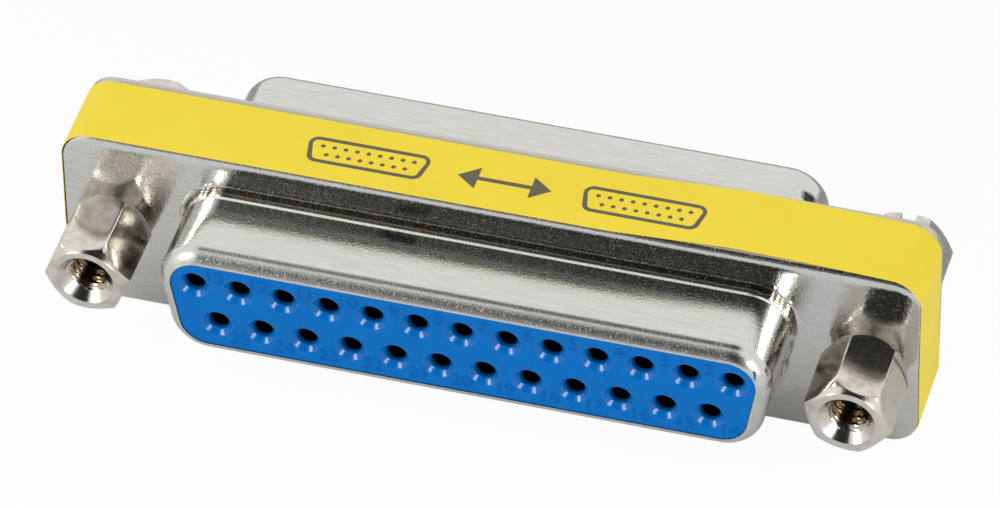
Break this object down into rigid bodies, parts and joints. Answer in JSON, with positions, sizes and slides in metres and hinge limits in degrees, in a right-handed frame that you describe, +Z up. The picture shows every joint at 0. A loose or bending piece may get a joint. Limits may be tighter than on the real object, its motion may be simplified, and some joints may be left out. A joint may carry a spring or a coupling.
{
  "type": "d-sub gender changer",
  "caption": "Compact D-sub gender changer with a socket connector on each side, jackscrews and standoffs at the ends, and a yellow wrapped label.",
  "frame": {"origin": "middle of the adapter, on the axis of both connectors, halfway between the two flanges", "axes": "+X along the connectors, towards the end at the right when facing the front socket; -Y out of the front socket; +Z up, towards the front socket's long row"},
  "size_m": [0.0534, 0.0174, 0.013],
  "materials": {
    "nickel": "satin nickel plate on drawn steel",
    "insulator": "satin moulded thermoplastic",
    "contact": "stamped, plain",
    "board": "glass-filled laminate",
    "frame_plastic": "moulded, plain",
    "label_film": "satin printed film",
    "fastener": "turned hex bar, bright nickel plate"
  },
  "bodies": {
    "root": {"back_contact_01": "contact", "back_contact_02": "contact", "back_contact_03": "contact", "back_contact_04": "contact", "back_contact_05": "contact", "back_contact_06": "contact", "back_contact_07": "contact", "back_contact_08": "contact", "back_contact_09": "contact", "back_contact_10": "contact", "back_contact_11": "contact", "back_contact_12": "contact", "back_contact_13": "contact", "back_contact_14": "contact", "back_contact_15": "contact", "back_contact_16": "contact", "back_contact_17": "contact", "back_contact_18": "contact", "back_contact_19": "contact", "back_contact_20": "contact", "back_contact_21": "contact", "back_contact_22": "contact", "back_contact_23": "contact", "back_contact_24": "contact", "back_contact_25": "contact", "back_insulator": "insulator", "back_jackscrews": "fastener", "back_shell": "nickel", "circuit_board": "board", "front_contact_01": "contact", "front_contact_02": "contact", "front_contact_03": "contact", "front_contact_04": "contact", "front_contact_05": "contact", "front_contact_06": "contact", "front_contact_07": "contact", "front_contact_08": "contact", "front_contact_09": "contact", "front_contact_10": "contact", "front_contact_11": "contact", "front_contact_12": "contact", "front_contact_13": "contact", "front_contact_14": "contact", "front_contact_15": "contact", "front_contact_16": "contact", "front_contact_17": "contact", "front_contact_18": "contact", "front_contact_19": "contact", "front_contact_20": "contact", "front_contact_21": "contact", "front_contact_22": "contact", "front_contact_23": "contact", "front_contact_24": "contact", "front_contact_25": "contact", "front_insulator": "insulator", "front_shell": "nickel", "front_standoffs": "fastener", "spacer_frame": "frame_plastic", "wrap_label": "label_film"}
  },
  "joints": []
}
